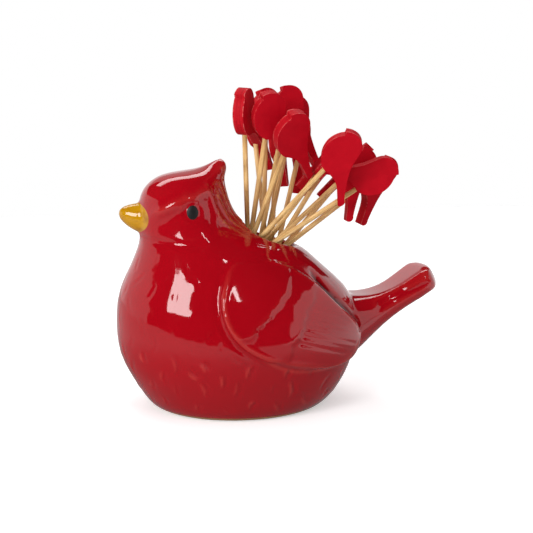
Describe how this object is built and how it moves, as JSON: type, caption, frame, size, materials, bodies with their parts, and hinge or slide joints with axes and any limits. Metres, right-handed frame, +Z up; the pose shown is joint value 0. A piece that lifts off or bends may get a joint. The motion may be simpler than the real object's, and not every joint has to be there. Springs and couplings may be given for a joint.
{
  "type": "toothpick holder",
  "caption": "Hollow glazed ceramic songbird with a round hole in its back, holding loose pointed bamboo picks with flat red wooden bird toppers.",
  "frame": {"origin": "middle of the foot, on the plane that the bird stands on", "axes": "+Z up, the bird faces -X, its tail points to +X, +Y is the bird's left"},
  "size_m": [0.1265, 0.0768, 0.1208],
  "materials": {
    "red_glaze": "deep glossy red glaze, mustard beak, black eyes",
    "bamboo": "bare split bamboo, turned round",
    "red_paint": "satin red stain, worn pale along the edges"
  },
  "bodies": {
    "bird": {"bird_body": "red_glaze"},
    "pick_01": {"pick_01_stick": "bamboo", "pick_01_topper": "red_paint"},
    "pick_02": {"pick_02_stick": "bamboo", "pick_02_topper": "red_paint"},
    "pick_03": {"pick_03_stick": "bamboo", "pick_03_topper": "red_paint"},
    "pick_04": {"pick_04_stick": "bamboo", "pick_04_topper": "red_paint"},
    "pick_05": {"pick_05_stick": "bamboo", "pick_05_topper": "red_paint"},
    "pick_06": {"pick_06_stick": "bamboo", "pick_06_topper": "red_paint"},
    "pick_07": {"pick_07_stick": "bamboo", "pick_07_topper": "red_paint"},
    "pick_08": {"pick_08_stick": "bamboo", "pick_08_topper": "red_paint"},
    "pick_09": {"pick_09_stick": "bamboo", "pick_09_topper": "red_paint"},
    "pick_10": {"pick_10_stick": "bamboo", "pick_10_topper": "red_paint"},
    "pick_11": {"pick_11_stick": "bamboo", "pick_11_topper": "red_paint"},
    "pick_12": {"pick_12_stick": "bamboo", "pick_12_topper": "red_paint"},
    "pick_13": {"pick_13_stick": "bamboo", "pick_13_topper": "red_paint"},
    "pick_14": {"pick_14_stick": "bamboo", "pick_14_topper": "red_paint"},
    "pick_15": {"pick_15_stick": "bamboo", "pick_15_topper": "red_paint"},
    "pick_16": {"pick_16_stick": "bamboo", "pick_16_topper": "red_paint"}
  },
  "joints": [
    {"name": "pick_01_lift", "type": "slide", "parent": "bird", "child": "pick_01", "axis": [-0.0718, -0.2323, 0.97], "range_m": [0, 0.07]},
    {"name": "pick_02_lift", "type": "slide", "parent": "bird", "child": "pick_02", "axis": [0.0878, -0.2654, 0.9601], "range_m": [0, 0.07]},
    {"name": "pick_03_lift", "type": "slide", "parent": "bird", "child": "pick_03", "axis": [0.2615, -0.3444, 0.9017], "range_m": [0, 0.074]},
    {"name": "pick_04_lift", "type": "slide", "parent": "bird", "child": "pick_04", "axis": [0.5733, -0.381, 0.7254], "range_m": [0, 0.071]},
    {"name": "pick_05_lift", "type": "slide", "parent": "bird", "child": "pick_05", "axis": [0.8154, -0.1676, 0.5541], "range_m": [0, 0.071]},
    {"name": "pick_06_lift", "type": "slide", "parent": "bird", "child": "pick_06", "axis": [0.8188, 0.2005, 0.538], "range_m": [0, 0.068]},
    {"name": "pick_07_lift", "type": "slide", "parent": "bird", "child": "pick_07", "axis": [0.6852, 0.3686, 0.6282], "range_m": [0, 0.067]},
    {"name": "pick_08_lift", "type": "slide", "parent": "bird", "child": "pick_08", "axis": [0.742, -0.0291, 0.6698], "range_m": [0, 0.074]},
    {"name": "pick_09_lift", "type": "slide", "parent": "bird", "child": "pick_09", "axis": [0.5927, -0.0714, 0.8023], "range_m": [0, 0.077]},
    {"name": "pick_10_lift", "type": "slide", "parent": "bird", "child": "pick_10", "axis": [0.2072, 0.0219, 0.9781], "range_m": [0, 0.066]},
    {"name": "pick_11_lift", "type": "slide", "parent": "bird", "child": "pick_11", "axis": [0.2604, 0.2087, 0.9427], "range_m": [0, 0.068]},
    {"name": "pick_12_lift", "type": "slide", "parent": "bird", "child": "pick_12", "axis": [0.3229, 0.5273, 0.7859], "range_m": [0, 0.069]},
    {"name": "pick_13_lift", "type": "slide", "parent": "bird", "child": "pick_13", "axis": [0.5729, 0.3406, 0.7455], "range_m": [0, 0.072]},
    {"name": "pick_14_lift", "type": "slide", "parent": "bird", "child": "pick_14", "axis": [-0.0212, 0.392, 0.9197], "range_m": [0, 0.069]},
    {"name": "pick_15_lift", "type": "slide", "parent": "bird", "child": "pick_15", "axis": [0.1513, 0.4678, 0.8708], "range_m": [0, 0.072]},
    {"name": "pick_16_lift", "type": "slide", "parent": "bird", "child": "pick_16", "axis": [0.0728, 0.2443, 0.967], "range_m": [0, 0.067]}
  ]
}
